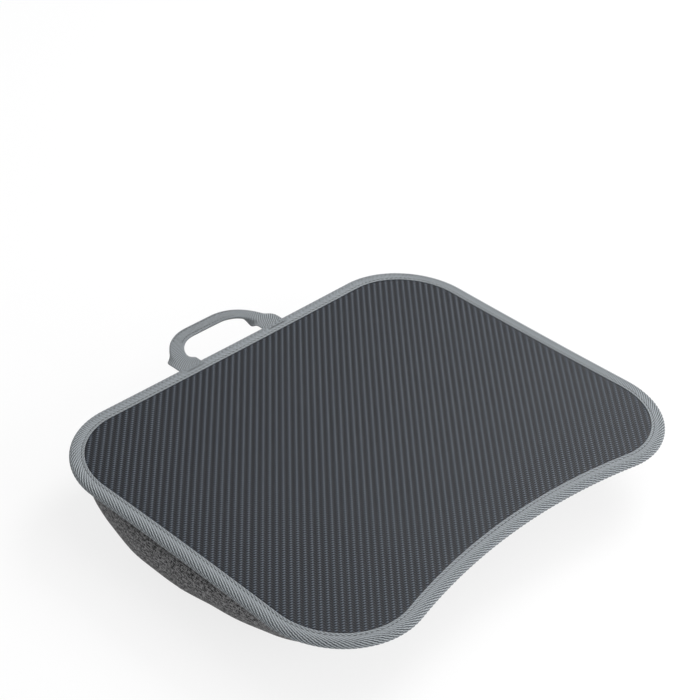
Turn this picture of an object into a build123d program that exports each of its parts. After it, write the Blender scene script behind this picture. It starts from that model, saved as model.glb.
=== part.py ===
# A cushioned lap tray: a rigid board under thin foam and a plastic top sheet, a bead cushion sewn
# beneath it, one woven tape bound round the rim, and a webbing carry loop at the back.
# The front scoop faces -Y, the carry loop is at +Y, and the cushion stands on Z = 0.
import os

from build123d import *

os.makedirs("parts", exist_ok=True)

# Driving dimensions, in millimetres

# Outline of the bound rim: its sharp corners and the middles of its sides, before the rounding
rim_front_half_width = 228.6
rim_side_half_width = 224.0
rim_back_half_width = 225.7
rim_front_corner_y = -200.3
rim_front_middle_y = -154.7
rim_back_corner_y = 172.8
rim_back_middle_y = 171.5
rim_front_radius = 73.9
rim_back_radius = 74.1

# Stack of the board, from the top down
overall_height = 60.0
sheet_thickness = 0.8
sheet_pressing = 0.5
foam_thickness = 1.4
board_thickness = 1.8
lining_thickness = 0.3
cover_cloth = 0.5

# Binding tape, folded over the rim, and the gap to the full thickness of the sheet
tape_thickness = 0.5
tape_top_reach = 12.0
tape_under_reach = 11.5
tape_rounding = 2.2
sheet_gap = 0.4

# Lockstitch through both legs of the tape
stitch_inset = 9.6
thread_width = 0.7
thread_height = 0.3

# Carry loop: flat webbing at its ends, folded lengthwise into a grip between them
strap_width = 25.0
strap_thickness = 1.0
grip_width = 13.0
grip_thickness = 2.8
loop_half_span = 50.0
loop_bend = 34.0
loop_lead = 4.0
strap_gap = 0.3
tail_length = 16.0
tail_clearance = 0.15
bartack_inset = 6.0
bartack_width = 2.0
bartack_height = 0.5
bartack_rounding = 0.6

overrun = 5.0

# Rings of the cushion from the tape down, as shares of its depth and of the rim's sizes:
# height, side x, front y, back y, front corner x and y, back corner x and y, corner radius
cushion_shoulder_shares = [
    (0.93, 0.964, 0.909, 0.920, 0.933, 0.897, 0.943, 0.920, 0.884),
    (0.82, 0.981, 0.869, 0.890, 0.902, 0.857, 0.930, 0.887, 0.881),
    (0.68, 0.994, 0.803, 0.841, 0.855, 0.791, 0.909, 0.836, 0.871),
]
cushion_underside_shares = [
    (0.50, 0.991, 0.701, 0.763, 0.785, 0.688, 0.876, 0.755, 0.850),
    (0.32, 0.954, 0.578, 0.671, 0.704, 0.564, 0.836, 0.657, 0.815),
    (0.16, 0.862, 0.445, 0.570, 0.620, 0.430, 0.793, 0.552, 0.765),
    (0.05, 0.730, 0.328, 0.482, 0.550, 0.313, 0.756, 0.459, 0.704),
    (0.00, 0.580, 0.246, 0.420, 0.505, 0.230, 0.729, 0.394, 0.622),
]
# The cushion is this much deeper than its height when nothing presses it flat
cushion_settle = 0.5

# Sections along the first half of the carry loop: place as a share of its length, and share folded up
loop_section_shares = [(0.0, 0.0), (0.03, 0.0), (0.07, 0.06), (0.11, 0.22), (0.15, 0.5), (0.19, 0.78)]
loop_section_shares += [(0.23, 0.94), (0.27, 1.0), (0.31, 1.0), (0.35, 1.0), (0.39, 1.0)]

# Heights that follow from the stack
margin_top = overall_height - sheet_pressing
foam_top = overall_height - sheet_thickness
board_top = foam_top - foam_thickness
board_bottom = board_top - board_thickness
flange_top = board_bottom - lining_thickness
flange_bottom = flange_top - cover_cloth
tape_top = margin_top + tape_thickness
tape_bottom = flange_bottom - tape_thickness
core_rounding = tape_rounding - tape_thickness
strap_z = board_top + strap_thickness / 2
hinge_y = rim_back_middle_y + strap_gap + strap_thickness / 2


def scooped_outline(side_x, front_y, back_y, front_corner, back_corner, front_radius, back_radius, inset):
    """A face bounded by four arcs through the named places, rounded where they meet, drawn in by inset."""
    side_y = (front_corner[1] + back_corner[1]) / 2
    front_left = (-front_corner[0], front_corner[1])
    back_left = (-back_corner[0], back_corner[1])
    with BuildSketch() as outline:
        with BuildLine():
            ThreePointArc(front_left, (0, front_y), front_corner)
            ThreePointArc(front_corner, (side_x, side_y), back_corner)
            ThreePointArc(back_corner, (0, back_y), back_left)
            ThreePointArc(back_left, (-side_x, side_y), front_left)
        make_face()
        fillet(outline.vertices().sort_by(Axis.Y)[:2], radius=front_radius)
        fillet(outline.vertices().sort_by(Axis.Y)[-2:], radius=back_radius)
        if inset:
            offset(amount=-inset)
    # Each side of the drawn-in outline is drawn again as a plain arc
    with BuildSketch() as plain:
        with BuildLine():
            for side in outline.edges():
                ThreePointArc(side @ 0, side @ 0.5, side @ 1)
        make_face()
    return plain.sketch


def rim_outline(inset):
    """The rim's outline, drawn in by inset."""
    return scooped_outline(
        rim_side_half_width,
        rim_front_middle_y,
        rim_back_middle_y,
        (rim_front_half_width, rim_front_corner_y),
        (rim_back_half_width, rim_back_corner_y),
        rim_front_radius,
        rim_back_radius,
        inset,
    )


def cushion_ring(shares, inset):
    """One level outline of the cushion, drawn in by inset."""
    side, front, back, front_x, front_y, back_x, back_y, radius = shares
    return scooped_outline(
        side * rim_side_half_width,
        front * rim_front_middle_y,
        back * rim_back_middle_y,
        (front_x * rim_front_half_width, front_y * rim_front_corner_y),
        (back_x * rim_back_half_width, back_y * rim_back_corner_y),
        radius * rim_front_radius,
        radius * rim_back_radius,
        inset,
    )


def cushion_form(inset, settle):
    """The cushion below the tape as one closed form, drawn in by inset, its base pressed flat by settle."""
    lowest = inset - settle
    rings = [(tape_bottom, rim_outline(tape_under_reach + inset))]
    with BuildPart() as form:
        for stretch in (cushion_shoulder_shares, cushion_underside_shares):
            for height, *shares in stretch:
                rings.append((lowest + height * (tape_bottom - lowest), cushion_ring(shares, inset)))
            for ring_z, ring in rings:
                with BuildSketch(Plane.XY.offset(ring_z)):
                    add(ring)
            loft()
            rings = rings[-1:]
        if settle:
            split(bisect_by=Plane.XY.offset(inset), keep=Keep.TOP)
    return form.part


rim_face = rim_outline(0)
core_face = rim_outline(tape_thickness)
tape_window = rim_outline(tape_top_reach)
sheet_face = rim_outline(tape_top_reach + sheet_gap)
tape_under_window = rim_outline(tape_under_reach)
neck_face = rim_outline(tape_under_reach + cover_cloth)
stitch_outer = rim_outline(stitch_inset - thread_width / 2)
stitch_inner = rim_outline(stitch_inset + thread_width / 2)
cushion_outer = cushion_form(0, cushion_settle)
cushion_inner = cushion_form(cover_cloth, 0)

# Everything that the tape holds, as one rounded block, from which each layer is cut
with BuildPart() as core:
    with BuildSketch(Plane.XY.offset(flange_bottom)):
        add(core_face)
    extrude(amount=margin_top - flange_bottom)
    core_ends = core.faces().filter_by(Axis.Z)
    fillet(core_ends.edges(), radius=core_rounding)


def keep_layer(low, high):
    """Adds the core's layer between two heights to the part that is open."""
    add(core.part)
    split(bisect_by=Plane.XY.offset(low), keep=Keep.TOP)
    split(bisect_by=Plane.XY.offset(high), keep=Keep.BOTTOM)


def cut_tail_slots():
    """Cuts the two places where the ends of the strap run in from the back."""
    slot_length = 2 * (tail_length + tail_clearance)
    slot_places = [(side * loop_half_span, rim_back_middle_y, strap_z) for side in (-1, 1)]
    with Locations(slot_places):
        Box(
            strap_width + 2 * tail_clearance,
            slot_length,
            strap_thickness + 2 * tail_clearance,
            mode=Mode.SUBTRACT,
        )


# Top sheet: full thickness inside the tape, pressed thin beneath it
with BuildPart() as top_sheet:
    keep_layer(foam_top, margin_top)
    with BuildSketch(Plane.XY.offset(foam_top)):
        add(sheet_face)
    extrude(amount=sheet_thickness)
top_sheet.part.label = "top_sheet"
export_step(top_sheet.part, "parts/top_sheet.step")

# Foam under the sheet, with pockets for the strap's ends
with BuildPart() as foam_pad:
    keep_layer(board_top, foam_top)
    cut_tail_slots()
foam_pad.part.label = "foam_pad"
export_step(foam_pad.part, "parts/foam_pad.step")

# Rigid board
with BuildPart() as board:
    keep_layer(board_bottom, board_top)
board.part.label = "board"
export_step(board.part, "parts/board.step")

# Lining that closes the cushion against the board
with BuildPart() as cushion_lining:
    keep_layer(flange_top, board_bottom)
cushion_lining.part.label = "cushion_lining"
export_step(cushion_lining.part, "parts/cushion_lining.step")

# Bead filling, up to the lining
with BuildPart() as bead_filling:
    add(cushion_inner)
    with BuildSketch(Plane.XY.offset(tape_bottom)):
        add(neck_face)
    extrude(amount=flange_top - tape_bottom)
bead_filling.part.label = "bead_filling"
export_step(bead_filling.part, "parts/bead_filling.step")

# Cushion cover: a flange caught in the tape, a neck through it, and the swelling form below
with BuildPart() as cushion_cover:
    keep_layer(flange_bottom, flange_top)
    with BuildSketch(Plane.XY.offset(tape_bottom)):
        add(tape_under_window)
    extrude(amount=flange_bottom - tape_bottom)
    add(cushion_outer)
    add(bead_filling.part, mode=Mode.SUBTRACT)
cushion_cover.part.label = "cushion_cover"
export_step(cushion_cover.part, "parts/cushion_cover.step")

# Binding tape, folded round the rim
with BuildPart() as edge_binding:
    with BuildSketch(Plane.XY.offset(tape_bottom)):
        add(rim_face)
    extrude(amount=tape_top - tape_bottom)
    tape_ends = edge_binding.faces().filter_by(Axis.Z)
    fillet(tape_ends.edges(), radius=tape_rounding)
    add(core.part, mode=Mode.SUBTRACT)
    with BuildSketch(Plane.XY.offset(margin_top)):
        add(tape_window)
    extrude(amount=tape_thickness + overrun, mode=Mode.SUBTRACT)
    with BuildSketch(Plane.XY.offset(flange_bottom)):
        add(tape_under_window)
    extrude(amount=-tape_thickness - overrun, mode=Mode.SUBTRACT)
    cut_tail_slots()
edge_binding.part.label = "edge_binding"
export_step(edge_binding.part, "parts/edge_binding.step")

# Rows of lockstitch on the tape, above and below
stitch_rows = [
    ("stitch_row_upper", tape_top, thread_height),
    ("stitch_row_lower", tape_bottom, -thread_height),
]
for row_name, row_z, row_rise in stitch_rows:
    with BuildPart() as stitch_row:
        with BuildSketch(Plane.XY.offset(row_z)):
            add(stitch_outer)
            add(stitch_inner, mode=Mode.SUBTRACT)
        extrude(amount=row_rise)
    stitch_row.part.label = row_name
    export_step(stitch_row.part, f"parts/{row_name}.step")

# Ends of the strap, held between the board and the sheet, each under a bar of dense stitching
for side_name, side in (("left", -1), ("right", 1)):
    with BuildPart() as handle_tail:
        with Locations((side * loop_half_span, rim_back_middle_y - tail_length / 2, strap_z)):
            Box(strap_width, tail_length, strap_thickness)
    handle_tail.part.label = f"handle_tail_{side_name}"
    export_step(handle_tail.part, f"parts/handle_tail_{side_name}.step")
    with BuildPart() as handle_bartack:
        bartack_y = rim_back_middle_y - bartack_inset
        with Locations((side * loop_half_span, bartack_y, tape_top + bartack_height / 2)):
            Box(strap_width - bartack_width, bartack_width, bartack_height)
        bartack_corners = handle_bartack.edges().filter_by(Axis.Z)
        fillet(bartack_corners, radius=bartack_rounding)
    handle_bartack.part.label = f"handle_bartack_{side_name}"
    export_step(handle_bartack.part, f"parts/handle_bartack_{side_name}.step")

# Carry loop, which turns about the line where it leaves the tape
loop_reach_y = hinge_y + loop_lead + loop_bend
with BuildLine(Plane.XY.offset(strap_z)) as loop_path:
    FilletPolyline(
        (-loop_half_span, hinge_y),
        (-loop_half_span, loop_reach_y),
        (loop_half_span, loop_reach_y),
        (loop_half_span, hinge_y),
        radius=loop_bend,
    )
loop_wire = loop_path.wires()[0]
loop_far_half = [(1 - place, fold) for place, fold in reversed(loop_section_shares)]

with BuildPart() as handle_strap:
    for place, fold in loop_section_shares + loop_far_half:
        along = loop_wire % place
        section_plane = Plane(origin=loop_wire @ place, x_dir=along.cross(Vector(0, 0, 1)), z_dir=along)
        with BuildSketch(section_plane):
            Rectangle(
                strap_width + (grip_width - strap_width) * fold,
                strap_thickness + (grip_thickness - strap_thickness) * fold,
            )
    loft(ruled=True)
    with Locations((-loop_half_span, hinge_y, strap_z), (loop_half_span, hinge_y, strap_z)):
        Cylinder(strap_thickness / 2, strap_width, rotation=(0, 90, 0))
handle_strap.part.label = "handle_strap"
export_step(handle_strap.part, "parts/handle_strap.step")
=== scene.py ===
import math

import bmesh
import bpy
import numpy as np
from mathutils import Matrix, Vector, kdtree


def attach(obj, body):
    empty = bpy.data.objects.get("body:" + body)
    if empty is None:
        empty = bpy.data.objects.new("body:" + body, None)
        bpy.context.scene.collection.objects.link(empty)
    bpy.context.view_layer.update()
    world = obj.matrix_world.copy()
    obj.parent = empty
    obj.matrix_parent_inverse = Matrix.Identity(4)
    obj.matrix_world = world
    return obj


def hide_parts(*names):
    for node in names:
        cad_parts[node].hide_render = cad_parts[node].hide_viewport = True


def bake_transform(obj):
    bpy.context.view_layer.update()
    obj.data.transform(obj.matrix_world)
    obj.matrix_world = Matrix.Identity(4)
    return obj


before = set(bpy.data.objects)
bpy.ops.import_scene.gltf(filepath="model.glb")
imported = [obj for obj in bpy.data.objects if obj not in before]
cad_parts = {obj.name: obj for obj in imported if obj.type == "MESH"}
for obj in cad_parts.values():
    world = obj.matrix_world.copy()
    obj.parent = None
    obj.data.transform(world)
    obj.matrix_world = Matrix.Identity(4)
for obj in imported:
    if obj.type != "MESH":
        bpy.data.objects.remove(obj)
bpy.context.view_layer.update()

MM = 0.001
TURN = 2 * math.pi
QUARTER = math.pi / 2

# Sizes of the part. Lengths are in millimetres where no comment says otherwise.
FRONT_CORNER = (228.6, -200.3)
FRONT_MIDDLE = -154.7
SIDE_MIDDLE = 224.0
BACK_CORNER = (225.7, 172.8)
BACK_MIDDLE = 171.5
FRONT_RADIUS = 73.9
BACK_RADIUS = 74.1
SHEET_TOP = 60.0
MARGIN_TOP = 59.5
FOAM_TOP = 59.2
FLANGE_BOTTOM = 55.2
TAPE_TOP = 60.0
TAPE_BOTTOM = 54.7
TAPE_THICKNESS = 0.5
TAPE_TOP_REACH = 12.0
TAPE_UNDER_REACH = 11.5
TAPE_ROUNDING = 2.2
STITCH_INSET = 9.6
CUSHION_SETTLE = 0.5
# Rings of the cushion, as shares of its depth and of the rim's sizes: height, side x, front y,
# back y, front corner x and y, back corner x and y, corner radius
CUSHION_RINGS = [
    (0.93, 0.964, 0.909, 0.920, 0.933, 0.897, 0.943, 0.920, 0.884),
    (0.82, 0.981, 0.869, 0.890, 0.902, 0.857, 0.930, 0.887, 0.881),
    (0.68, 0.994, 0.803, 0.841, 0.855, 0.791, 0.909, 0.836, 0.871),
    (0.50, 0.991, 0.701, 0.763, 0.785, 0.688, 0.876, 0.755, 0.850),
    (0.32, 0.954, 0.578, 0.671, 0.704, 0.564, 0.836, 0.657, 0.815),
    (0.16, 0.862, 0.445, 0.570, 0.620, 0.430, 0.793, 0.552, 0.765),
    (0.05, 0.730, 0.328, 0.482, 0.550, 0.313, 0.756, 0.459, 0.704),
    (0.00, 0.580, 0.246, 0.420, 0.505, 0.230, 0.729, 0.394, 0.622),
]
STRAP_WIDTH = 25.0
STRAP_THICKNESS = 1.0
LOOP_HALF_SPAN = 50.0
LOOP_BEND = 34.0
LOOP_LEAD = 4.0
TAIL_LENGTH = 16.0
STRAP_Z = 58.3
HINGE_Y = 172.3
BARTACK_INSET = 6.0

# Points on half an outline: front, front corner, side, back corner, back
RIM_COUNTS = (240, 200, 280, 160, 200)
CUSHION_COUNTS = (44, 36, 48, 30, 40)

# Twill of the sheet, with lengths and places along its threads counted in threads
THREAD_PITCH = 1.909
TWILL_REPEAT = 4
FLOAT_LENGTH = 2
CROSSWISE_MIDDLE = 3

# Ridges of the tape. Its calm part is pressed down flatter by the stitching.
RIDGE_PITCH = 4.4
RIDGE_LEAN = 2.1
CALM_WIDTH = 8.0
CALM_FADE = 3

# Lockstitches of the rim: pitch, length, radius, how deep they are pulled into the tape, and the
# height of a stitch along its length
STITCH_PITCH = 4.4
STITCH_LENGTH = 3.5
STITCH_RADIUS = 0.33
STITCH_DEPTH = 0.22
STITCH_RISE = (-0.42, -0.08, 0.05, 0.09, 0.05, -0.08, -0.42)


# Outlines, all counter-clockwise from the middle of the front edge


def circle_through(a, b, c):
    """The centre and radius of the circle through three points."""
    (ax, ay), (bx, by), (cx, cy) = a, b, c
    d = 2 * (ax * (by - cy) + bx * (cy - ay) + cx * (ay - by))
    sa, sb, sc = ax * ax + ay * ay, bx * bx + by * by, cx * cx + cy * cy
    centre = np.array([(sa * (by - cy) + sb * (cy - ay) + sc * (ay - by)) / d,
                       (sa * (cx - bx) + sb * (ax - cx) + sc * (bx - ax)) / d])
    return centre, np.linalg.norm(centre - np.array(a))


def crossing(c1, r1, c2, r2, near):
    """Of the two points where the circles cross, the one nearer to a given point."""
    d = c2 - c1
    n = np.linalg.norm(d)
    a = (r1 * r1 - r2 * r2 + n * n) / (2 * n)
    h = math.sqrt(max(r1 * r1 - a * a, 0))
    m = c1 + d * a / n
    p = np.array([-d[1], d[0]]) / n
    return min((m + p * h, m - p * h), key=lambda q: np.linalg.norm(q - near))


def arc_points(centre, radius, start, end, count):
    """Points on the shorter arc from start up to, but without, end."""
    a, b = (math.atan2(*(np.array(p) - centre)[::-1]) for p in (start, end))
    if b - a > math.pi:
        b -= TURN
    if b - a < -math.pi:
        b += TURN
    t = np.linspace(a, b, count + 1)[:-1]
    return centre + radius * np.stack([np.cos(t), np.sin(t)], 1)


def outline(front_corner, front_middle, side_middle, back_corner, back_middle, front_radius,
            back_radius, counts):
    """Four arcs rounded where they meet, with as many points on each stretch whatever the sizes."""
    front, back = np.array(front_corner), np.array(back_corner)
    side_y = (front[1] + back[1]) / 2
    cf, rf = circle_through(front, (0, front_middle), front * [-1, 1])
    cs, rs = circle_through(front, (side_middle, side_y), back)
    cb, rb = circle_through(back, (0, back_middle), back * [-1, 1])
    inside = np.array([0, side_y])

    def inner(c, r, fillet):
        return r - fillet if np.linalg.norm(c - inside) < r else r + fillet

    def foot(c, r, k):
        return c + (k - c) / np.linalg.norm(k - c) * r

    k1 = crossing(cf, inner(cf, rf, front_radius), cs, inner(cs, rs, front_radius),
                  front + [-front_radius, front_radius])
    k2 = crossing(cs, inner(cs, rs, back_radius), cb, inner(cb, rb, back_radius),
                  back - back_radius)
    t1, t2, t3, t4 = foot(cf, rf, k1), foot(cs, rs, k1), foot(cs, rs, k2), foot(cb, rb, k2)
    n1, n2, n3, n4, n5 = counts
    half = np.vstack([arc_points(cf, rf, (0, front_middle), t1, n1),
                      arc_points(k1, front_radius, t1, t2, n2),
                      arc_points(cs, rs, t2, t3, n3),
                      arc_points(k2, back_radius, t3, t4, n4),
                      arc_points(cb, rb, t4, (0, back_middle), n5),
                      [(0, back_middle)]])
    return np.vstack([half, (half * [-1, 1])[-2:0:-1]])


def unit(vectors):
    return vectors / np.linalg.norm(vectors, axis=1)[:, None]


def distances(points):
    """How far along the line each of its points lies."""
    return np.r_[0, np.cumsum(np.linalg.norm(np.diff(points, axis=0), axis=1))]


def right_of(along):
    """Each direction turned to its right."""
    return np.stack([along[:, 1], -along[:, 0]], 1)


def normals_of(loop):
    return right_of(unit(np.roll(loop, -1, 0) - np.roll(loop, 1, 0)))


def drawn_in(loop, amount):
    return loop - normals_of(loop) * amount


def evenly(loop, count):
    """The closed loop again with even spacing, the distance along it at each point, its length."""
    closed = np.vstack([loop, loop[:1]])
    at = distances(closed)
    want = np.linspace(0, at[-1], count + 1)[:-1]
    return np.stack([np.interp(want, at, closed[:, k]) for k in (0, 1)], 1), want, at[-1]


def rim_loop(counts=RIM_COUNTS):
    return outline(FRONT_CORNER, FRONT_MIDDLE, SIDE_MIDDLE, BACK_CORNER, BACK_MIDDLE,
                   FRONT_RADIUS, BACK_RADIUS, counts)


def cushion_ring(shares):
    side, front, back, front_x, front_y, back_x, back_y, radius = shares
    return outline((front_x * FRONT_CORNER[0], front_y * FRONT_CORNER[1]), front * FRONT_MIDDLE,
                   side * SIDE_MIDDLE, (back_x * BACK_CORNER[0], back_y * BACK_CORNER[1]),
                   back * BACK_MIDDLE, radius * FRONT_RADIUS, radius * BACK_RADIUS,
                   CUSHION_COUNTS)


# Mesh helpers


def add_mesh(name, verts, faces):
    mesh = bpy.data.meshes.new(name)
    mesh.from_pydata((np.asarray(verts, float) * MM).tolist(), [], faces)
    mesh.validate()
    mesh.shade_smooth()
    obj = bpy.data.objects.new(name, mesh)
    bpy.context.collection.objects.link(obj)
    return obj


def loft_faces(rings, around, closed_along=False):
    """Faces between closed rings of as many points each."""
    faces = []
    for r in range(rings if closed_along else rings - 1):
        a, b = r * around, ((r + 1) % rings) * around
        for i in range(around):
            j = (i + 1) % around
            faces.append((a + i, a + j, b + j, b + i))
    return faces


def end_caps(rings, around):
    return [tuple(range(around))[::-1], tuple(range((rings - 1) * around, rings * around))]


def face_outward(obj):
    bm = bmesh.new()
    bm.from_mesh(obj.data)
    bmesh.ops.recalc_face_normals(bm, faces=bm.faces)
    bm.to_mesh(obj.data)
    bm.free()


def apply_modifier(obj, modifier):
    bpy.context.view_layer.objects.active = obj
    bpy.ops.object.modifier_apply(modifier=modifier.name)


def tubes(name, paths, radius, sides=6):
    """Several short round threads in one mesh, each tapering into the cloth at its ends."""
    end_share, taper_power = 0.12, 6
    verts, faces = [], []
    for path in paths:
        path = np.asarray(path, float)
        along = unit(np.gradient(path, axis=0))
        side = unit(np.cross(along, (0, 0, 1.0)))
        up = np.cross(side, along)
        first = len(verts)
        n = len(path)
        from_middle = np.abs(np.linspace(-1, 1, n))
        size = radius * np.sqrt(np.clip(1 - from_middle ** taper_power, end_share, 1))
        for k in range(n):
            for s in range(sides):
                a = TURN * s / sides
                verts.append(path[k] + size[k] * (side[k] * math.cos(a) + up[k] * math.sin(a)))
        faces += [tuple(first + corner for corner in face)
                  for face in loft_faces(n, sides) + end_caps(n, sides)]
    obj = add_mesh(name, verts, faces)
    face_outward(obj)
    return obj


def set_uv(obj, uv, length=None):
    """One UV for each vertex, in metres along and across the cloth.

    Where the cloth closes on itself after a length, the closing faces run on past its end."""
    layer = obj.data.uv_layers.new(name="cloth")
    corner = np.empty(len(obj.data.loops), np.int32)
    obj.data.loops.foreach_get("vertex_index", corner)
    values = np.asarray(uv, np.float32)[corner]
    if length is not None:
        u = values.reshape(-1, 4, 2)[:, :, 0]
        closing = u.max(1) - u.min(1) > length / 2
        u[closing[:, None] & (u < length / 2)] += length
    layer.data.foreach_set("uv", values.ravel())


def soft_noise(x, y, height, width, length, seed, low=0.6, high=2.2):
    """Smooth noise of about this height from a few seeded waves.

    Its waves are scaled by width along x and by length along y."""
    waves, mean_peak = 9, 1.4
    x, y = x / width, y / length
    rng = np.random.default_rng(seed)
    total = np.zeros_like(x)
    for _ in range(waves):
        size, angle, phase = rng.uniform(low, high), rng.uniform(0, TURN), rng.uniform(0, TURN)
        total += np.sin(size * (x * math.cos(angle) + y * math.sin(angle)) + phase)
    return height * (total / math.sqrt(waves) / mean_peak)


def hump(distance, width):
    """1 at no distance, falling smoothly to 0 a few widths away."""
    return np.exp(-((distance / width) ** 2))


def eased(share):
    return share * share * (3 - 2 * share)


def between(value, low, rise, high, fall):
    """1 between low and high, going up from 0 over the rise and down to it over the fall."""
    return np.clip((value - low) / rise, 0, 1) * np.clip((high - value) / fall, 0, 1)


# Material graphs


class Graph:
    """A material whose nodes are made by short calls. Plain numbers may stand for sockets."""

    def __init__(self, name, roughness, specular=0.4, sheen=0.0):
        self.material = bpy.data.materials.new(name)
        self.material.use_nodes = True
        self.tree = self.material.node_tree
        self.shader = self.tree.nodes["Principled BSDF"]
        self.shader.inputs["Roughness"].default_value = roughness
        self.shader.inputs["Specular IOR Level"].default_value = specular
        self.shader.inputs["Sheen Weight"].default_value = sheen

    def put(self, socket, value):
        if isinstance(value, bpy.types.NodeSocket):
            self.tree.links.new(value, socket)
        else:
            socket.default_value = value

    def node(self, kind, **settings):
        made = self.tree.nodes.new(kind)
        for key, value in settings.items():
            setattr(made, key, value)
        return made

    def math(self, operation, a, b=0.0, c=0.0):
        made = self.node("ShaderNodeMath", operation=operation)
        for socket, value in zip(made.inputs, (a, b, c)):
            self.put(socket, value)
        return made.outputs[0]

    def plus(self, a, b):
        return self.math("ADD", a, b)

    def minus(self, a, b):
        return self.math("SUBTRACT", a, b)

    def times(self, a, b):
        return self.math("MULTIPLY", a, b)

    def weigh(self, a, b, share):
        """The share of a plus the rest of b."""
        return self.plus(self.times(a, share), self.times(b, 1 - share))

    def coords(self, which):
        return self.node("ShaderNodeTexCoord").outputs[which]

    def split(self, vector):
        made = self.node("ShaderNodeSeparateXYZ")
        self.put(made.inputs[0], vector)
        return made.outputs

    def join(self, x, y, z=0.0):
        made = self.node("ShaderNodeCombineXYZ")
        for socket, value in zip(made.inputs, (x, y, z)):
            self.put(socket, value)
        return made.outputs[0]

    def noise(self, vector, scale, detail=3.0, roughness=0.55):
        made = self.node("ShaderNodeTexNoise")
        self.put(made.inputs["Vector"], vector)
        self.put(made.inputs["Scale"], scale)
        self.put(made.inputs["Detail"], detail)
        self.put(made.inputs["Roughness"], roughness)
        return made.outputs[0]

    def streaks(self, a, b, scales, detail, roughness=0.55):
        """Noise drawn out along one of two directions, by the scale of each for a metre."""
        place = self.join(self.times(a, scales[0]), self.times(b, scales[1]))
        return self.noise(place, 1.0, detail, roughness)

    def wave(self, value, pitch):
        """0 to 1 and back once in every pitch, given in metres."""
        sine = self.math("SINE", self.times(value, TURN / pitch))
        return self.math("MULTIPLY_ADD", sine, 0.5, 0.5)

    def band(self, value, low, high, to_low=0.0, to_high=1.0):
        made = self.node("ShaderNodeMapRange", interpolation_type="SMOOTHSTEP")
        for socket, given in zip(made.inputs, (value, low, high, to_low, to_high)):
            self.put(socket, given)
        return made.outputs[0]

    def mix(self, share, a, b):
        made = self.node("ShaderNodeMix", data_type="RGBA")
        self.put(made.inputs[0], share)
        self.put(made.inputs[6], (*a, 1) if isinstance(a, tuple) else a)
        self.put(made.inputs[7], (*b, 1) if isinstance(b, tuple) else b)
        return made.outputs[2]

    def choose(self, share, a, b):
        made = self.node("ShaderNodeMix", data_type="FLOAT")
        for socket, value in zip((made.inputs[0], made.inputs[2], made.inputs[3]), (share, a, b)):
            self.put(socket, value)
        return made.outputs[0]

    def colour(self, value):
        self.put(self.shader.inputs["Base Color"], value)

    def bump(self, height, distance):
        """Relief in which a height of 1 stands for this distance in millimetres."""
        made = self.node("ShaderNodeBump")
        self.put(made.inputs["Height"], height)
        made.inputs["Distance"].default_value = distance * MM
        self.put(self.shader.inputs["Normal"], made.outputs[0])


# Colours: of the sheet's floats and the gaps between them, with painted light and shade: the
# crosswise floats painted lighter as if lit, the lengthwise ones darker as if in shade, and painted
# shade at the floats' ends and in the gaps. Of the cloths' yarns, the tape's and webbing's dark
# colour partly painted shade in the valleys, and painted shade on the linen under the tape
CROSSWISE_LIT_COLOUR = (0.086, 0.103, 0.128)
CROSSWISE_END_SHADE = (0.042, 0.051, 0.066)
LENGTHWISE_SHADED_COLOUR = (0.014, 0.017, 0.025)
GAP_SHADE_COLOUR = (0.002, 0.0025, 0.004)
WORN_COLOUR = (0.05, 0.056, 0.065)
TAPE_DARK_YARN_AND_SHADE = (0.016, 0.019, 0.022)
TAPE_LIGHT = (0.40, 0.435, 0.46)
WEBBING_DARK_YARN_AND_SHADE = (0.05, 0.057, 0.063)
WEBBING_LIGHT = (0.36, 0.39, 0.41)
LINEN_DARK = (0.012, 0.012, 0.013)
LINEN_LIGHT = (0.27, 0.27, 0.275)
LINEN_FADED = (0.11, 0.11, 0.112)
LINEN_PAINTED_SHADE = (0.03, 0.03, 0.031)
THREAD_DARK = (0.022, 0.025, 0.028)
THREAD_LIGHT = (0.075, 0.082, 0.09)


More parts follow.
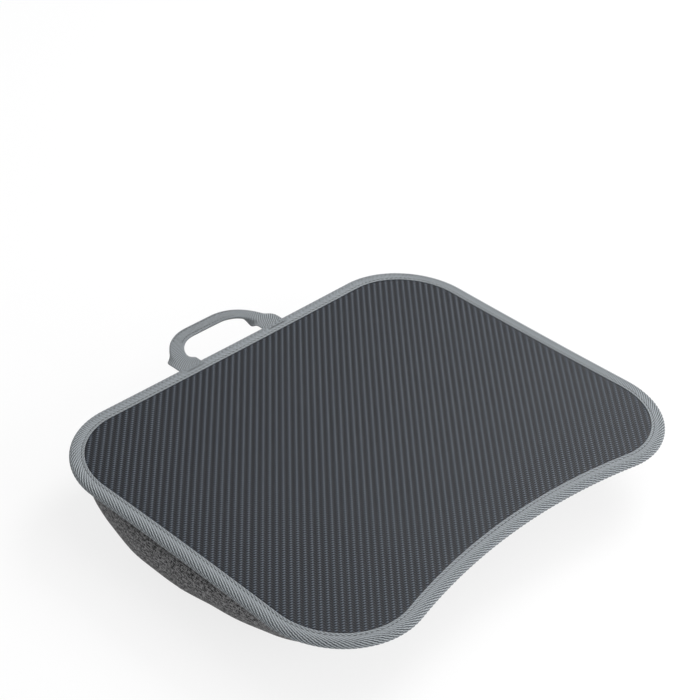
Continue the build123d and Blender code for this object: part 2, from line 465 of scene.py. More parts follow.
def sheet_material():
    """Embossed two-over-two twill: floats along X and along Y that step into diagonal ribs."""
    fine, drawn_out = 9000, 500
    pitch = THREAD_PITCH * MM
    g = Graph("embossed_sheet", roughness=0.45)
    x, y, _ = g.split(g.coords("Object"))
    u, v = g.math("DIVIDE", x, pitch), g.math("DIVIDE", y, pitch)
    column, row = g.math("FLOOR", u), g.math("FLOOR", v)
    step = g.math("FLOORED_MODULO", g.minus(column, row), TWILL_REPEAT)
    lengthwise = g.math("LESS_THAN", step, FLOAT_LENGTH - 0.5)
    # How far along its float a point of a crosswise thread is, 0 in the middle and 1 at both ends
    along = g.math("FLOORED_MODULO", g.minus(u, row), TWILL_REPEAT)
    along = g.math("ABSOLUTE", g.minus(along, CROSSWISE_MIDDLE))

    def crown_of(place, thread):
        return g.math("SINE", g.times(g.minus(place, thread), math.pi))

    crown = g.choose(lengthwise, crown_of(v, row), crown_of(u, column))
    fibre = g.choose(lengthwise, g.streaks(x, y, (drawn_out, fine), detail=2.0),
                     g.streaks(x, y, (fine, drawn_out), detail=2.0))
    # Steps across each rib, one for each thread that it moves over
    steps = g.wave(g.plus(g.plus(x, y), pitch), 2 * pitch)
    wear = g.noise(g.coords("Object"), scale=22.0, detail=4.0)
    # Painted shade: each crosswise float is darker towards its ends, where it dips under
    crosswise = g.mix(g.band(along, 0.5, 1.05), CROSSWISE_LIT_COLOUR, CROSSWISE_END_SHADE)
    # Painted light and shade: crosswise floats lighter, as if lit, lengthwise floats darker, as if
    # in shade
    base = g.mix(lengthwise, crosswise, LENGTHWISE_SHADED_COLOUR)
    # Painted shade: near black in the gaps between floats and dimmer at the steps across each rib
    raised = g.times(g.band(crown, 0.15, 0.8), g.band(steps, 0.1, 0.7, to_low=0.3))
    shade = g.mix(raised, GAP_SHADE_COLOUR, base)
    g.colour(g.mix(g.band(wear, 0.45, 0.75, to_high=0.06), shade, WORN_COLOUR))
    g.bump(g.math("MULTIPLY_ADD", fibre, 0.25, crown), 0.2)
    g.put(g.shader.inputs["Roughness"], g.band(wear, 0.3, 0.7, to_low=0.41, to_high=0.46))
    g.put(g.shader.inputs["Specular IOR Level"], g.math("MULTIPLY_ADD", lengthwise, 0.16, 0.16))
    return g.material


def woven_material(name, dark, light, ridge_pitch, lean, yarn_pitch, depth, calm_until=-1000.0):
    """Twill in the cloth's own coordinates: slanted ridges cut into floats by lengthwise yarns.

    Its contrast is lower nearer to the cloth's first edge than calm_until."""
    ridge_share, crest_share, calm_light = 0.7, 0.75, 0.66
    g = Graph(name, roughness=0.85, specular=0.25, sheen=0.2)
    s, t, _ = g.split(g.coords("UV"))
    ridge = g.wave(g.math("MULTIPLY_ADD", t, -lean, s), ridge_pitch * MM)
    yarn = g.wave(t, yarn_pitch * MM)
    height = g.weigh(ridge, yarn, ridge_share)
    heather = g.streaks(s, t, (700, 1000), detail=3.0, roughness=0.7)
    patch = g.noise(g.coords("UV"), scale=60.0, detail=2.0)
    # Crests take the light colour and valleys the dark one: partly the yarns' own colours, partly
    # painted shade in the valleys
    share = g.weigh(g.band(height, 0.25, 0.8), g.band(heather, 0.4, 0.6), crest_share)
    firm = g.band(t, (calm_until - CALM_FADE) * MM, calm_until * MM, to_low=0.5)
    share = g.choose(firm, calm_light, share)
    middle = tuple(0.5 * (a + b) for a, b in zip(dark, light))
    g.colour(g.mix(g.band(patch, 0.35, 0.75, to_high=0.15), g.mix(share, dark, light), middle))
    g.bump(g.math("MULTIPLY_ADD", heather, 0.2, height), depth)
    return g.material


def linen_material():
    """Slubby plain weave, laid on each side of the cushion by which way the side faces."""
    weft_scales, warp_scales, weft_share = (260, 1050), (950, 380), 0.6
    column_pitch, row_pitch, slub_share = 1.05, 1.0, 0.85
    shade_low, shade_high, facing_power = 44, 52, 6.0
    g = Graph("linen", roughness=0.9, specular=0.2, sheen=0.12)
    x, y, z = g.split(g.coords("Object"))
    facing = g.split(g.node("ShaderNodeNewGeometry").outputs["Normal"])
    weights = [g.math("POWER", g.math("ABSOLUTE", part), facing_power) for part in facing]
    total = g.plus(g.plus(weights[0], weights[1]), weights[2])

    def weave(a, b):
        weft, warp = (g.streaks(a, b, scales, detail=2.0, roughness=0.6)
                      for scales in (weft_scales, warp_scales))
        slub = g.weigh(weft, warp, weft_share)
        grid = g.times(g.wave(a, column_pitch * MM), g.wave(b, row_pitch * MM))
        return g.weigh(slub, grid, slub_share)

    height = 0.0
    for weight, plane in zip(weights, (weave(y, z), weave(x, z), weave(y, x))):
        height = g.math("MULTIPLY_ADD", g.math("DIVIDE", weight, total), plane, height)
    patch = g.noise(g.coords("Object"), scale=14.0, detail=3.0)
    colour = g.mix(g.band(height, 0.42, 0.50), LINEN_DARK, LINEN_LIGHT)
    faded = g.mix(g.band(patch, 0.4, 0.8, to_high=0.15), colour, LINEN_FADED)
    # Painted shade: the cloth is drawn together where it goes up under the tape, and painted darker
    # there for the tape's shade
    shade_under_tape = g.band(z, shade_low * MM, shade_high * MM, to_high=0.5)
    g.colour(g.mix(shade_under_tape, faded, LINEN_PAINTED_SHADE))
    g.bump(height, 0.35)
    return g.material


def thread_material():
    twist_pitch = 0.28
    g = Graph("sewing_thread", roughness=0.6, specular=0.35, sheen=0.2)
    x, y, z = g.split(g.coords("Object"))
    twist = g.wave(g.plus(g.plus(x, y), z), twist_pitch * MM)
    g.colour(g.mix(twist, THREAD_DARK, THREAD_LIGHT))
    g.bump(twist, 0.05)
    return g.material


def plain_material(name, dark, light, scale, roughness, stretch=(1, 1, 1)):
    """Two colours mixed by fine noise, for the pieces inside."""
    g = Graph(name, roughness=roughness, specular=0.3)
    place = g.join(*(g.times(c, k) for c, k in zip(g.split(g.coords("Object")), stretch)))
    spot = g.noise(place, scale, detail=5.0, roughness=0.65)
    g.colour(g.mix(g.band(spot, 0.3, 0.7), dark, light))
    g.bump(spot, 0.2)
    return g.material


# The sheet


def sheet_grid(step):
    """Points of a square grid over the sheet, how far inside the rim each is, and which to use."""
    half_width, front, back, rim_count, under_tape = 235, -190, 180, 5600, 4.0
    # Points up to these shares of a step outside and inside the limit are drawn onto it
    share_out, share_in = 0.6, 0.4
    rim, _, _ = evenly(rim_loop(), rim_count)
    normal = normals_of(rim)
    rim_tree = kdtree.KDTree(rim_count)
    for i, (x, y) in enumerate(rim):
        rim_tree.insert((x, y, 0), i)
    rim_tree.balance()
    xs = np.arange(math.floor(-half_width / step), math.ceil(half_width / step) + 1) * step
    ys = np.arange(math.floor(front / step), math.ceil(back / step) + 1) * step
    gx, gy = np.meshgrid(xs, ys, indexing="ij")
    depth = np.empty(gx.shape)
    nearest = np.empty(gx.shape, int)
    for index in np.ndindex(gx.shape):
        x, y = gx[index], gy[index]
        _, i, _ = rim_tree.find((x, y, 0))
        nearest[index] = i
        depth[index] = (rim[i][0] - x) * normal[i][0] + (rim[i][1] - y) * normal[i][1]
    limit = TAPE_TOP_REACH - under_tape
    inside = depth > limit - share_out * step
    past = inside & (depth < limit + share_in * step)
    shift = (limit - depth)[past]
    gx[past] -= normal[nearest[past], 0] * shift
    gy[past] -= normal[nearest[past], 1] * shift
    depth[past] = limit
    return gx, gy, depth, inside


def float_lift(across, along):
    """How high the floats of one direction stand, 0 to 1, where they run along and lie across."""
    nudge = 1e-6
    lift = np.zeros(across.shape)
    # The thread under each point and the one before it
    for shift in (-1, 0):
        thread = np.floor(across + nudge) + shift
        off = (along - thread + FLOAT_LENGTH) % TWILL_REPEAT - FLOAT_LENGTH
        crown = np.clip(1 - (2 * np.abs(across - thread - 0.5)) ** 2, 0, 1)
        lift = np.maximum(lift, crown * np.clip(1 - np.abs(off) ** 3, 0, 1))
    return lift


def sheet_height(gx, gy, depth):
    """The sheet's surface: floats and ribs inside the tape, and a lower margin under it."""
    float_rise, lengthwise_share, rib_rise, rib_phase = 0.30, 0.6, 0.16, math.pi / 4
    base_sink, margin_sink, edge_gap, edge_run = 0.40, 0.06, 0.3, 1.2
    u, v = gx / THREAD_PITCH, gy / THREAD_PITCH
    lift = np.maximum(lengthwise_share * float_lift(u, v), float_lift(v, u - CROSSWISE_MIDDLE))
    rib = 0.5 - 0.5 * np.cos(TURN * (gx - gy) / (TWILL_REPEAT * THREAD_PITCH) - rib_phase)
    relief = float_rise * lift + rib_rise * rib
    sway = soft_noise(gx, gy, height=0.05, width=60, length=60, seed=5)
    edge = eased(np.clip((depth - (TAPE_TOP_REACH + edge_gap)) / edge_run, 0, 1))
    return (MARGIN_TOP - margin_sink) * (1 - edge) + (SHEET_TOP - base_sink + relief + sway) * edge


def make_top_sheet():
    """The embossed sheet: real floats in its surface, rounded down and run under the tape."""
    gx, gy, depth, inside = sheet_grid(THREAD_PITCH / 2)
    gz = sheet_height(gx, gy, depth)
    number = np.full(gx.shape, -1)
    number[inside] = np.arange(inside.sum())
    top = np.stack([gx[inside], gy[inside], gz[inside]], 1)
    corners = [(slice(0, -1), slice(0, -1)), (slice(1, None), slice(0, -1)),
               (slice(1, None), slice(1, None)), (slice(0, -1), slice(1, None))]
    quads = np.logical_and.reduce([inside[corner] for corner in corners])
    faces = np.stack([number[corner][quads] for corner in corners], 1)
    obj = add_mesh("top_sheet_embossed", top, faces.tolist())
    bm = bmesh.new()
    bm.from_mesh(obj.data)
    loose = [v for v in bm.verts if not v.link_faces]
    bmesh.ops.delete(bm, geom=loose, context="VERTS")
    # The edge goes down to the foam and is closed there
    border = [e for e in bm.edges if e.is_boundary]
    made = bmesh.ops.extrude_edge_only(bm, edges=border)["geom"]
    for vert in made:
        if isinstance(vert, bmesh.types.BMVert):
            vert.co.z = FOAM_TOP * MM
    low_edges = [e for e in made if isinstance(e, bmesh.types.BMEdge) and e.is_boundary]
    bmesh.ops.contextual_create(bm, geom=low_edges)
    bmesh.ops.recalc_face_normals(bm, faces=bm.faces)
    bm.to_mesh(obj.data)
    bm.free()
    obj.data.shade_smooth()
    return obj


# The tape and its stitches

# Points of the tape's section on top, round each bend, down the edge and underneath
TOP_POINTS, BEND_POINTS, EDGE_POINTS, UNDER_POINTS = 22, 8, 6, 15


def tape_profile():
    """The tape's section as points of inset and height, outside first and then inside."""
    r = TAPE_ROUNDING
    bend = np.linspace(0, QUARTER, BEND_POINTS + 1)[1:]
    outside = [(inset, TAPE_TOP) for inset in np.linspace(TAPE_TOP_REACH, r, TOP_POINTS)]
    outside += [(r * (1 - math.sin(a)), TAPE_TOP - r * (1 - math.cos(a))) for a in bend]
    outside += [(0.0, height)
                for height in np.linspace(TAPE_TOP - r, TAPE_BOTTOM + r, EDGE_POINTS + 1)[1:]]
    outside += [(r * (1 - math.cos(a)), TAPE_BOTTOM + r * (1 - math.sin(a))) for a in bend]
    outside += [(inset, TAPE_BOTTOM)
                for inset in np.linspace(r, TAPE_UNDER_REACH, UNDER_POINTS + 1)[1:]]
    core = r - TAPE_THICKNESS
    bend = np.linspace(0, QUARTER, BEND_POINTS // 2 + 1)
    inside = [(TAPE_UNDER_REACH, FLANGE_BOTTOM), (r, FLANGE_BOTTOM)]
    inside += [(TAPE_THICKNESS + core * (1 - math.sin(a)), FLANGE_BOTTOM + core * (1 - math.cos(a)))
               for a in bend[1:]]
    inside += [(TAPE_THICKNESS + core * (1 - math.cos(a)), MARGIN_TOP - core * (1 - math.sin(a)))
               for a in bend]
    inside += [(TAPE_TOP_REACH, MARGIN_TOP)]
    return np.array(outside), np.array(inside)


def make_tape():
    """One tape folded round the rim, with slanted ridges, and the pitch of these and its length."""
    # Groove along the stitches, crown of the loose part outside them, lip at the free edge
    groove_depth, groove_width = 0.26, 0.75
    crown_rise, crown_width = 0.30, 8.8
    lip_rise, lip_inset, lip_width = 0.12, 11.3, 0.5
    # Ridges, which are lower in the calm part, and pull of each stitch
    ridge_rise, calm_share = 0.19, 0.45
    pull_rise, pull_width = 0.05, 1.2
    fade_points = 2
    loop, at, length = evenly(rim_loop(), count=3420)
    normal = normals_of(loop)
    pitch = length / round(length / RIDGE_PITCH)
    outside, inside = tape_profile()
    run = distances(outside)
    outward = right_of(unit(np.gradient(outside, axis=0)))
    rings, uvs = [], []

    def add_ring(insets, heights, t):
        rings.append(np.column_stack([loop - normal * insets[:, None], heights]))
        uvs.append(np.column_stack([at, np.full_like(at, t)]))

    for k, ((inset, height), t, (dx, dz)) in enumerate(zip(outside, run, outward)):
        on_top = k < TOP_POINTS
        sewn = on_top or k >= len(outside) - UNDER_POINTS
        stitch_off = inset - STITCH_INSET
        groove = -groove_depth * hump(stitch_off, groove_width) * sewn
        crown_at = min(max((crown_width - inset) / crown_width, 0), 1)
        crown = crown_rise * math.sin(math.pi * crown_at) * on_top
        lip = lip_rise * hump(inset - lip_inset, lip_width) * on_top
        fade = min(1, k / fade_points) * min(1, (len(outside) - 1 - k) / fade_points)
        firm = min(max((t - CALM_WIDTH + CALM_FADE) / CALM_FADE, 0), 1)
        firm = calm_share + (1 - calm_share) * firm
        ridge = ridge_rise * firm * np.sin(TURN * (at - RIDGE_LEAN * t) / pitch) * fade
        pull = pull_rise * np.cos(TURN * at / STITCH_PITCH) * hump(stitch_off, pull_width) * sewn
        slack = soft_noise(at, t, height=0.08, width=30, length=8, seed=11) * fade
        move = groove + crown + lip + ridge + pull + slack
        add_ring(inset + dx * move, height + dz * move, t)
    for k, (inset, height) in enumerate(inside):
        add_ring(np.full_like(at, inset), np.full_like(at, height), run[-1] + 1 + k)
    faces = loft_faces(len(rings), len(loop), closed_along=True)
    obj = add_mesh("edge_tape", np.vstack(rings), faces)
    # It closes in the middle of the front edge, after a whole number of ridges
    set_uv(obj, np.vstack(uvs) * MM, length * MM)
    face_outward(obj)
    return obj, pitch, length


def stitch_paths(height, up):
    """The middle lines of one row of stitches, which stand up or down from the tape."""
    loop, at, length = evenly(drawn_in(rim_loop(), STITCH_INSET), count=8000)
    level = height + up * np.array(STITCH_RISE)
    count = round(length / STITCH_PITCH)
    paths = []
    for n in range(count):
        run = n * length / count + np.linspace(0, STITCH_LENGTH, len(STITCH_RISE))
        x, y = (np.interp(run, at, loop[:, k], period=length) for k in (0, 1))
        paths.append(np.column_stack([x, y, level]))
    return paths


# The cushion


def spline_rows(rows, at, want):
    """A smooth curve through each column of points, read again at other places."""
    slopes = np.gradient(rows, at, axis=0)
    out = []
    for w in want:
        k = min(max(np.searchsorted(at, w) - 1, 0), len(at) - 2)
        h = at[k + 1] - at[k]
        f = (w - at[k]) / h
        out.append(rows[k] * (2 * f**3 - 3 * f**2 + 1) + rows[k + 1] * (3 * f**2 - 2 * f**3)
                   + slopes[k] * h * (f**3 - 2 * f**2 + f) + slopes[k + 1] * h * (f**3 - f**2))
    return np.array(out)


def cushion_rings(levels):
    """The cushion's side and underside as rings of matching points, from the tape to the base."""
    rim = rim_loop(CUSHION_COUNTS)
    neck = drawn_in(rim, TAPE_UNDER_REACH)
    rings = [np.column_stack([neck, np.full(len(rim), TAPE_BOTTOM)])]
    for height, *shares in CUSHION_RINGS:
        loop = cushion_ring(shares)
        level = height * (TAPE_BOTTOM + CUSHION_SETTLE) - CUSHION_SETTLE
        rings.append(np.column_stack([loop, np.full(len(loop), level)]))
    rings = np.array(rings)
    steps = np.linalg.norm(np.diff(rings, axis=0), axis=2).mean(1)
    at = np.r_[0, np.cumsum(steps)]
    return spline_rows(rings, at, np.linspace(0, at[-1], levels))


CLOTH_SETTINGS = {
    "quality": 6, "mass": 0.25, "tension_stiffness": 12, "compression_stiffness": 12,
    "shear_stiffness": 6, "bending_stiffness": 0.6, "use_pressure": True,
    "uniform_pressure_force": 4,
}
CLOTH_FRAMES = 20
VOXEL = 4.5
SWELL_CAP = 2.5
# The cloth is held above the first height, where it is sewn in, and below the second, on the floor
HELD_ABOVE = TAPE_BOTTOM - 3.9
HELD_BELOW = 0.8


def swell(obj):
    """Blows the closed form up as cloth, moving no point past the cap, and leaves a plain mesh."""
    remesh = obj.modifiers.new("remesh", "REMESH")
    remesh.mode = "VOXEL"
    remesh.voxel_size = VOXEL * MM
    apply_modifier(obj, remesh)
    rest = np.array([v.co for v in obj.data.vertices])
    cloth = obj.modifiers.new("cloth", "CLOTH")
    for key, value in CLOTH_SETTINGS.items():
        setattr(cloth.settings, key, value)
    cloth.settings.effector_weights.gravity = 0
    cloth.collision_settings.use_collision = False
    pins = obj.vertex_groups.new(name="held")
    for i, co in enumerate(rest):
        if co[2] > HELD_ABOVE * MM or co[2] < HELD_BELOW * MM:
            pins.add([i], 1.0, "REPLACE")
    cloth.settings.vertex_group_mass = "held"
    scene = bpy.context.scene
    for number in range(1, CLOTH_FRAMES + 1):
        scene.frame_set(number)
    seen = obj.evaluated_get(bpy.context.evaluated_depsgraph_get())
    move = np.array([v.co for v in seen.data.vertices]) - rest
    obj.modifiers.remove(cloth)
    obj.vertex_groups.remove(pins)
    scene.frame_set(1)
    size = np.linalg.norm(move, axis=1)
    move *= (np.minimum(size, SWELL_CAP * MM) / np.maximum(size, 1e-9))[:, None]
    obj.data.vertices.foreach_set("co", (rest + move).ravel())
    obj.data.update()


def cushion_form():
    """The closed form that the cushion swells from: its rings, a neck inside the tape, its base."""
    neck_gap, base_rings = 0.1, 12
    rings = cushion_rings(levels=44)
    centre = rings[:, :, :2].mean(axis=(0, 1))
    around = rings.shape[1]
    base = rings[-1]
    neck = rings[0].copy()
    neck[:, 2] = FLANGE_BOTTOM - neck_gap
    inner = [np.column_stack([centre + (base[:, :2] - centre) * share, base[:, 2]])
             for share in np.linspace(1, 0, base_rings + 2)[1:-1]]
    body = np.concatenate([neck[None], rings, np.array(inner)])
    verts = body.reshape(-1, 3)
    faces = loft_faces(len(body), around)
    faces.append(tuple(range(around)))
    last = (len(body) - 1) * around
    middle = len(verts)
    verts = np.vstack([verts, [[*centre, base[0, 2]]]])
    faces += [(last + i, last + (i + 1) % around, middle) for i in range(around)]
    obj = add_mesh("bead_cushion", verts, faces)
    face_outward(obj)
    return obj


def make_cushion():
    """The bead cushion: sewn in under the tape, full at its sides and flat where it stands."""
    # Fullest a third of the way along each side, where the beads are pushed out: y, width, height
    lobes = ((53, 20, 1.5), (-55, 22, 1.7))
    fullness, lobe_from, lobe_run = 0.5, 60, 60
    mean_radius, base_height = 190, 3
    obj = cushion_form()
    swell(obj)
    finer = obj.modifiers.new("finer", "SUBSURF")
    finer.levels = finer.render_levels = 1
    apply_modifier(obj, finer)
    co = np.array([v.co for v in obj.data.vertices]) / MM
    normal = np.array([v.normal for v in obj.data.vertices])
    x, y, z = co.T
    around = np.arctan2(y, x) * mean_radius
    # 1 on the side and 0 at the base and the seam, and 1 only near to the seam
    side = between(z, low=4, rise=10, high=TAPE_BOTTOM - 1.4, fall=3)
    near_seam = between(z, low=34, rise=18, high=TAPE_BOTTOM - 0.9, fall=2.5)
    lobe = sum(height * hump(y - place, width) for place, width, height in lobes)
    full = (fullness + lobe * np.clip((np.abs(x) - lobe_from) / lobe_run, 0, 1)) * side
    lumps = soft_noise(x, y + z, height=0.55, width=26, length=26, seed=21) * side
    gathers = soft_noise(around, z, height=0.38, width=5.5, length=40, seed=22,
                         low=0.8, high=1.6) * near_seam
    drags = soft_noise(around, z, height=0.30, width=16, length=60, seed=23,
                       low=0.8, high=1.5) * side
    co += normal * (full + lumps + gathers + drags)[:, None]
    co[:, 2] = np.where(z < base_height, np.maximum(co[:, 2], 0.0), co[:, 2])
    obj.data.vertices.foreach_set("co", (co * MM).ravel())
    obj.data.update()
    obj.data.shade_smooth()
    return obj


# The carry loop


def loop_path():
    """The webbing's middle line from one sewn-in end to the other.

    Gives its points, the distance along it, the share folded and the way across at each point."""
    flat_run, fold_run, end_gap = 5.0, 33.0, 0.5
    tail_points, bend_points, grip_points = 15, 32, 13
    bend_y = HINGE_Y + LOOP_LEAD
    start_y = BACK_MIDDLE - TAIL_LENGTH + end_gap
    tail = [(-LOOP_HALF_SPAN, y) for y in np.linspace(start_y, bend_y, tail_points + 1)[:-1]]
    bend = [(-LOOP_HALF_SPAN + LOOP_BEND * (1 - math.cos(a)), bend_y + LOOP_BEND * math.sin(a))
            for a in np.linspace(0, QUARTER, bend_points)]
    grip = [(x, bend_y + LOOP_BEND)
            for x in np.linspace(-LOOP_HALF_SPAN + LOOP_BEND, 0, grip_points + 1)[1:]]
    half = np.array(tail + bend + grip)
    path = np.vstack([half, (half * [-1, 1])[-2::-1]])
    at = distances(path)
    from_hinge = np.minimum(at, at[-1] - at) - (TAIL_LENGTH + HINGE_Y - BACK_MIDDLE)
    fold = eased(np.clip((from_hinge - flat_run) / fold_run, 0, 1))
    return path, at, fold, right_of(unit(np.gradient(path, axis=0)))


def webbing_section(fold):
    """The webbing's section, its edges folded under by this share.

    Gives its upper side and its lower side as points across and up, and each point's place in
    the flat width."""
    count = 45
    flat_half, bend_run, folded_rise = 5.4, 1.8, 0.57
    edge_share, rounding_power = 0.25, 24
    q = np.linspace(-STRAP_WIDTH / 2, STRAP_WIDTH / 2, count)
    bending = (np.abs(q) > flat_half) & (np.abs(q) < flat_half + bend_run)
    bend = np.where(bending, math.pi * fold / bend_run, 0)
    step = q[1] - q[0]
    middle = count // 2
    angle = np.zeros(count)
    for k in range(middle + 1, count):
        angle[k] = angle[k - 1] - 0.5 * (bend[k] + bend[k - 1]) * step
    total = angle[-1]
    if fold > 0 and total < 0:
        angle *= -math.pi * fold / total
    px, pz = np.zeros(count), np.zeros(count)
    for k in range(middle + 1, count):
        mean = 0.5 * (angle[k] + angle[k - 1])
        px[k] = px[k - 1] + math.cos(mean) * step
        pz[k] = pz[k - 1] + math.sin(mean) * step
    for half, sign in ((px, -1), (pz, 1), (angle, -1)):
        half[:middle] = sign * half[:middle:-1]
    normal = np.stack([-np.sin(angle), np.cos(angle)], 1)
    line = np.stack([px, pz + folded_rise * fold], 1)
    # Half the thickness, less at both edges
    from_middle = np.abs(q) / (STRAP_WIDTH / 2)
    rounding = np.sqrt(np.clip(1 - from_middle ** rounding_power, edge_share, 1))
    offset = normal * (STRAP_THICKNESS / 2 * rounding)[:, None]
    return line + offset, line - offset, q


def make_webbing():
    """The carry loop's webbing, and its length."""
    sway_up, sway_start, sway_run = 0.5, 4, 15
    # The lower side's place across the cloth's coordinates, past the upper side's
    lower_side = 40
    path, at, fold, across = loop_path()
    sway = soft_noise(at, 0.0, height=0.35, width=22, length=1, seed=31)
    from_end = np.minimum(at, at[-1] - at)
    sway *= np.clip((from_end - TAIL_LENGTH - sway_start) / sway_run, 0, 1)
    rings, uvs = [], []
    for k in range(len(path)):
        upper, lower, q = webbing_section(fold[k])
        section = np.vstack([upper, lower[::-1]])
        centre = path[k] + across[k] * sway[k]
        level = STRAP_Z + sway_up * sway[k]
        rings.append(np.column_stack([centre + across[k] * section[:, :1], level + section[:, 1]]))
        places = np.r_[q, q[::-1] + lower_side]
        uvs.append(np.column_stack([np.full(len(places), at[k]), places]))
    around = len(rings[0])
    faces = loft_faces(len(rings), around) + end_caps(len(rings), around)
    obj = add_mesh("loop_webbing", np.vstack(rings), faces)
    set_uv(obj, np.vstack(uvs) * MM)
    face_outward(obj)
    return obj, at[-1]


def webbing_stitches():
    """Two rows of stitches that hold the folded grip shut."""
    pitch, stitch, margin, off_middle, height, radius = 3.4, 2.6, 3, 3.9, 1.1, 0.32
    folded_share = 0.98
    rise = np.array([-0.3, -0.02, 0.08, 0.08, -0.02, -0.3])
    path, at, fold, across = loop_path()
    folded = at[fold > folded_share]
    paths = []
    for side in (-1, 1):
        for start in np.arange(folded[0], folded[-1] - margin, pitch):
            run = start + np.linspace(0, stitch, len(rise))
            x, y = (np.interp(run, at, path[:, k]) for k in (0, 1))
            ax, ay = (np.interp(run, at, across[:, k]) for k in (0, 1))
            paths.append(np.column_stack([x + ax * side * off_middle, y + ay * side * off_middle,
                                          STRAP_Z + height + rise]))
    return tubes("loop_stitches", paths, radius)


def make_bartack(name, side):
    """A bar of close zigzag stitches over the webbing's sewn-in end."""
    count, points_each = 30, 5
    half_width, half_swing, lift, rise, radius = 11.3, 0.95, 0.22, 0.08, 0.26
    corner = np.arange(count)
    x = side * LOOP_HALF_SPAN + np.linspace(-half_width, half_width, count)
    y = BACK_MIDDLE - BARTACK_INSET + half_swing * np.where(corner % 2, 1.0, -1.0)
    dense = np.linspace(0, count - 1, count * points_each)
    z = TAPE_TOP + lift + rise * np.cos(dense * TURN)
    path = np.column_stack([np.interp(dense, corner, x), np.interp(dense, corner, y), z])
    return tubes(name, [path], radius)


# Camera, lights and floor

# The photograph's camera: azimuth, elevation and roll in degrees, the point at the picture's
# middle, its distance in metres, and the focal length and the picture's width in pixels
CAMERA_ANGLES = (-50.171, 34.985, 5.527)
CAMERA_AIM = (71.41, 96.22, 60.0)
CAMERA_DISTANCE = 1.618
FOCAL_LENGTH = 1831.0
PICTURE_WIDTH = 700.0
SENSOR_WIDTH = 36.0
# Place, aim and size in metres, and power in watts
LIGHTS = {
    "key": ((0.5, -0.2, 1.7), (0.05, -0.05, 0.03), (1.6, 1.6), 10),
    "fill": ((0.5, -1.7, 0.9), (0.05, 0, 0.03), (1.5, 0.9), 16),
    "back": ((1.7, 0.25, 1.65), (0.0, -0.1, 0.06), (1.0, 1.0), 26),
}
FLOOR_SIZE = 14
FLOOR_COLOURS = ((0.90, 0.90, 0.905), (0.92, 0.92, 0.92))
# Share of plain white in what the camera sees of the floor, which softens the object's shadow
FLOOR_WHITE = 0.8
# Strength of the white world on the object and to the camera
WORLD_LIGHT = 0.5
WORLD_SEEN = 1.0


def make_camera():
    azimuth, elevation, roll = (math.radians(a) for a in CAMERA_ANGLES)
    level = math.cos(elevation)
    back = Vector((math.sin(azimuth) * level, -math.cos(azimuth) * level, math.sin(elevation)))
    right = Vector((math.cos(azimuth), math.sin(azimuth), 0))
    up = back.cross(right)
    right, up = (right * math.cos(roll) + up * math.sin(roll),
                 up * math.cos(roll) - right * math.sin(roll))
    data = bpy.data.cameras.new("camera")
    data.sensor_width = SENSOR_WIDTH
    data.lens = FOCAL_LENGTH * SENSOR_WIDTH / PICTURE_WIDTH
    data.clip_end = 50
    camera = bpy.data.objects.new("camera", data)
    bpy.context.collection.objects.link(camera)
    place = Matrix.Translation(Vector(CAMERA_AIM) * MM + back * CAMERA_DISTANCE)
    camera.matrix_world = place @ Matrix((right, up, back)).transposed().to_4x4()
    bpy.context.scene.camera = camera


def area_light(name, place, aim, size, power):
    data = bpy.data.lights.new(name, "AREA")
    data.shape = "RECTANGLE"
    data.size, data.size_y = size
    data.energy = power
    light = bpy.data.objects.new(name, data)
    light.location = place
    light.rotation_euler = (Vector(aim) - Vector(place)).to_track_quat("-Z", "Y").to_euler()
    bpy.context.collection.objects.link(light)


def make_floor():
    bpy.ops.mesh.primitive_plane_add(size=FLOOR_SIZE, location=(0, 0, 0))
    floor = bpy.context.object
    floor.name = "floor"
    g = Graph("floor_paint", roughness=0.8, specular=0.2)
    shade = g.noise(g.coords("Object"), scale=1.5, detail=2.0)
    g.colour(g.mix(g.band(shade, 0.3, 0.7), *FLOOR_COLOURS))
    to_camera = g.node("ShaderNodeLightPath").outputs["Is Camera Ray"]
    seen = g.node("ShaderNodeMixShader")
    g.put(seen.inputs[0], g.times(to_camera, FLOOR_WHITE))
    g.put(seen.inputs[1], g.shader.outputs[0])
    g.put(seen.inputs[2], g.node("ShaderNodeEmission").outputs[0])
    g.put(g.tree.nodes["Material Output"].inputs["Surface"], seen.outputs[0])
    floor.data.materials.append(g.material)


def make_world():
    world = bpy.data.worlds.new("studio")
    world.use_nodes = True
    tree = world.node_tree
    sky = tree.nodes["Background"]
    sky.inputs["Color"].default_value = (1.0, 1.0, 1.0, 1)
    strength = tree.nodes.new("ShaderNodeMapRange")
    strength.inputs["To Min"].default_value = WORLD_LIGHT
    strength.inputs["To Max"].default_value = WORLD_SEEN
    path = tree.nodes.new("ShaderNodeLightPath")
    tree.links.new(path.outputs["Is Camera Ray"], strength.inputs["Value"])
    tree.links.new(strength.outputs[0], sky.inputs["Strength"])
    bpy.context.scene.world = world


def dress(obj, material, body="root", replaces=()):
    """Gives a piece its material and slot, the nodes that it stands for and the body it is on."""
    obj.data.materials.append(material)
    if replaces:
        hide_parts(*replaces)
    if body:
        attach(obj, body)


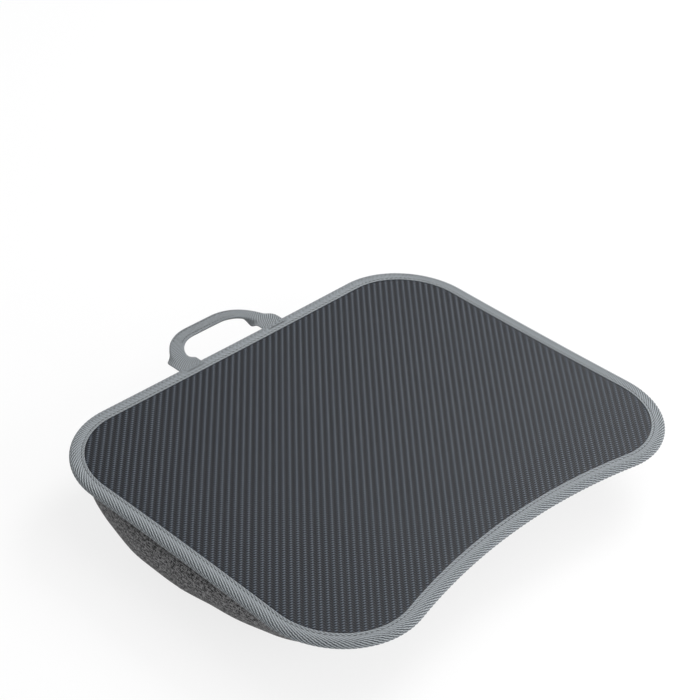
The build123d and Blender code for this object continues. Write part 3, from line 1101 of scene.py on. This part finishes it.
make_camera()
make_floor()
make_world()
for light_name, settings in LIGHTS.items():
    area_light(light_name, *settings)
bpy.context.scene.view_settings.view_transform = "Standard"

thread = thread_material()
web_cloth = woven_material("webbing_twill", WEBBING_DARK_YARN_AND_SHADE, WEBBING_LIGHT, ridge_pitch=2.0, lean=0.6,
                           yarn_pitch=0.9, depth=0.3)

sheet = make_top_sheet()
dress(sheet, sheet_material(), replaces=("top_sheet",))

tape, tape_ridge_pitch, tape_length = make_tape()
tape_cloth = woven_material("tape_twill", TAPE_DARK_YARN_AND_SHADE, TAPE_LIGHT, ridge_pitch=tape_ridge_pitch,
                            lean=RIDGE_LEAN, yarn_pitch=1.5, depth=0.22, calm_until=CALM_WIDTH)
dress(tape, tape_cloth, replaces=("edge_binding",))

upper = tubes("stitches_upper", stitch_paths(TAPE_TOP - STITCH_DEPTH, 1), STITCH_RADIUS)
dress(upper, thread, replaces=("stitch_row_upper",))
lower = tubes("stitches_lower", stitch_paths(TAPE_BOTTOM + STITCH_DEPTH, -1), STITCH_RADIUS)
dress(lower, thread, replaces=("stitch_row_lower",))

cushion = make_cushion()
dress(cushion, linen_material(), replaces=("cushion_cover", "bead_filling"))

webbing, webbing_length = make_webbing()
dress(webbing, web_cloth, body=None,
      replaces=("handle_strap", "handle_tail_left", "handle_tail_right"))
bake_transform(webbing)

grip_stitches = webbing_stitches()
dress(grip_stitches, thread, body="handle")

for name, side in (("left", -1), ("right", 1)):
    bar = make_bartack(f"bartack_{name}", side)
    dress(bar, thread, replaces=(f"handle_bartack_{name}",))

inner_materials = {
    "foam_pad": plain_material("foam", (0.05, 0.05, 0.055), (0.14, 0.14, 0.145), 900, 0.95),
    "board": plain_material("fibre_board", (0.30, 0.21, 0.12), (0.52, 0.38, 0.24), 60, 0.75,
                            stretch=(1, 6, 20)),
    "cushion_lining": plain_material("lining_cloth", (0.03, 0.03, 0.032), (0.09, 0.09, 0.095),
                                     1400, 0.9),
}
for node, material in inner_materials.items():
    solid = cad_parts[node]
    solid.data.materials.clear()
    solid.data.materials.append(material)
